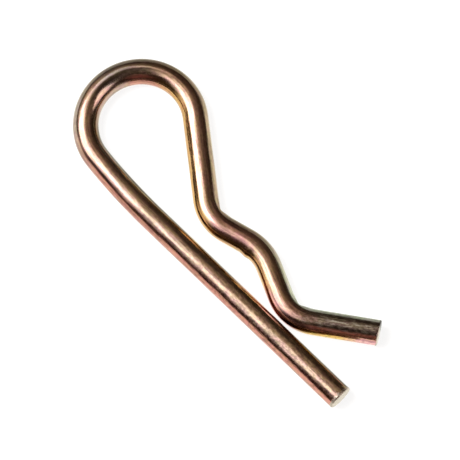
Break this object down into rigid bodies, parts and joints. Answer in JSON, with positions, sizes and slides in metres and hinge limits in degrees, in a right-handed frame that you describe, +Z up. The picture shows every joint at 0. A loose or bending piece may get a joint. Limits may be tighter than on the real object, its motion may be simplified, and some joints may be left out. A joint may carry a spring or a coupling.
{
  "type": "hitch pin clip",
  "caption": "Hairpin-shaped clip of bent round spring wire: a straight leg, a round loop and a waved leg that grips a clevis or hitch pin.",
  "frame": {"origin": "middle of the clip's outline seen from above, on the surface that it lies on", "axes": "+X along the straight leg towards its free end, +Y towards the waved leg, +Z up off the surface, across the wire"},
  "size_m": [0.0992, 0.0344, 0.0063],
  "materials": {
    "zinc_plated_wire": "spring steel wire with an iridescent yellow passivated zinc plating, satin to glossy"
  },
  "bodies": {
    "root": {"clip_wire": "zinc_plated_wire"}
  },
  "joints": []
}
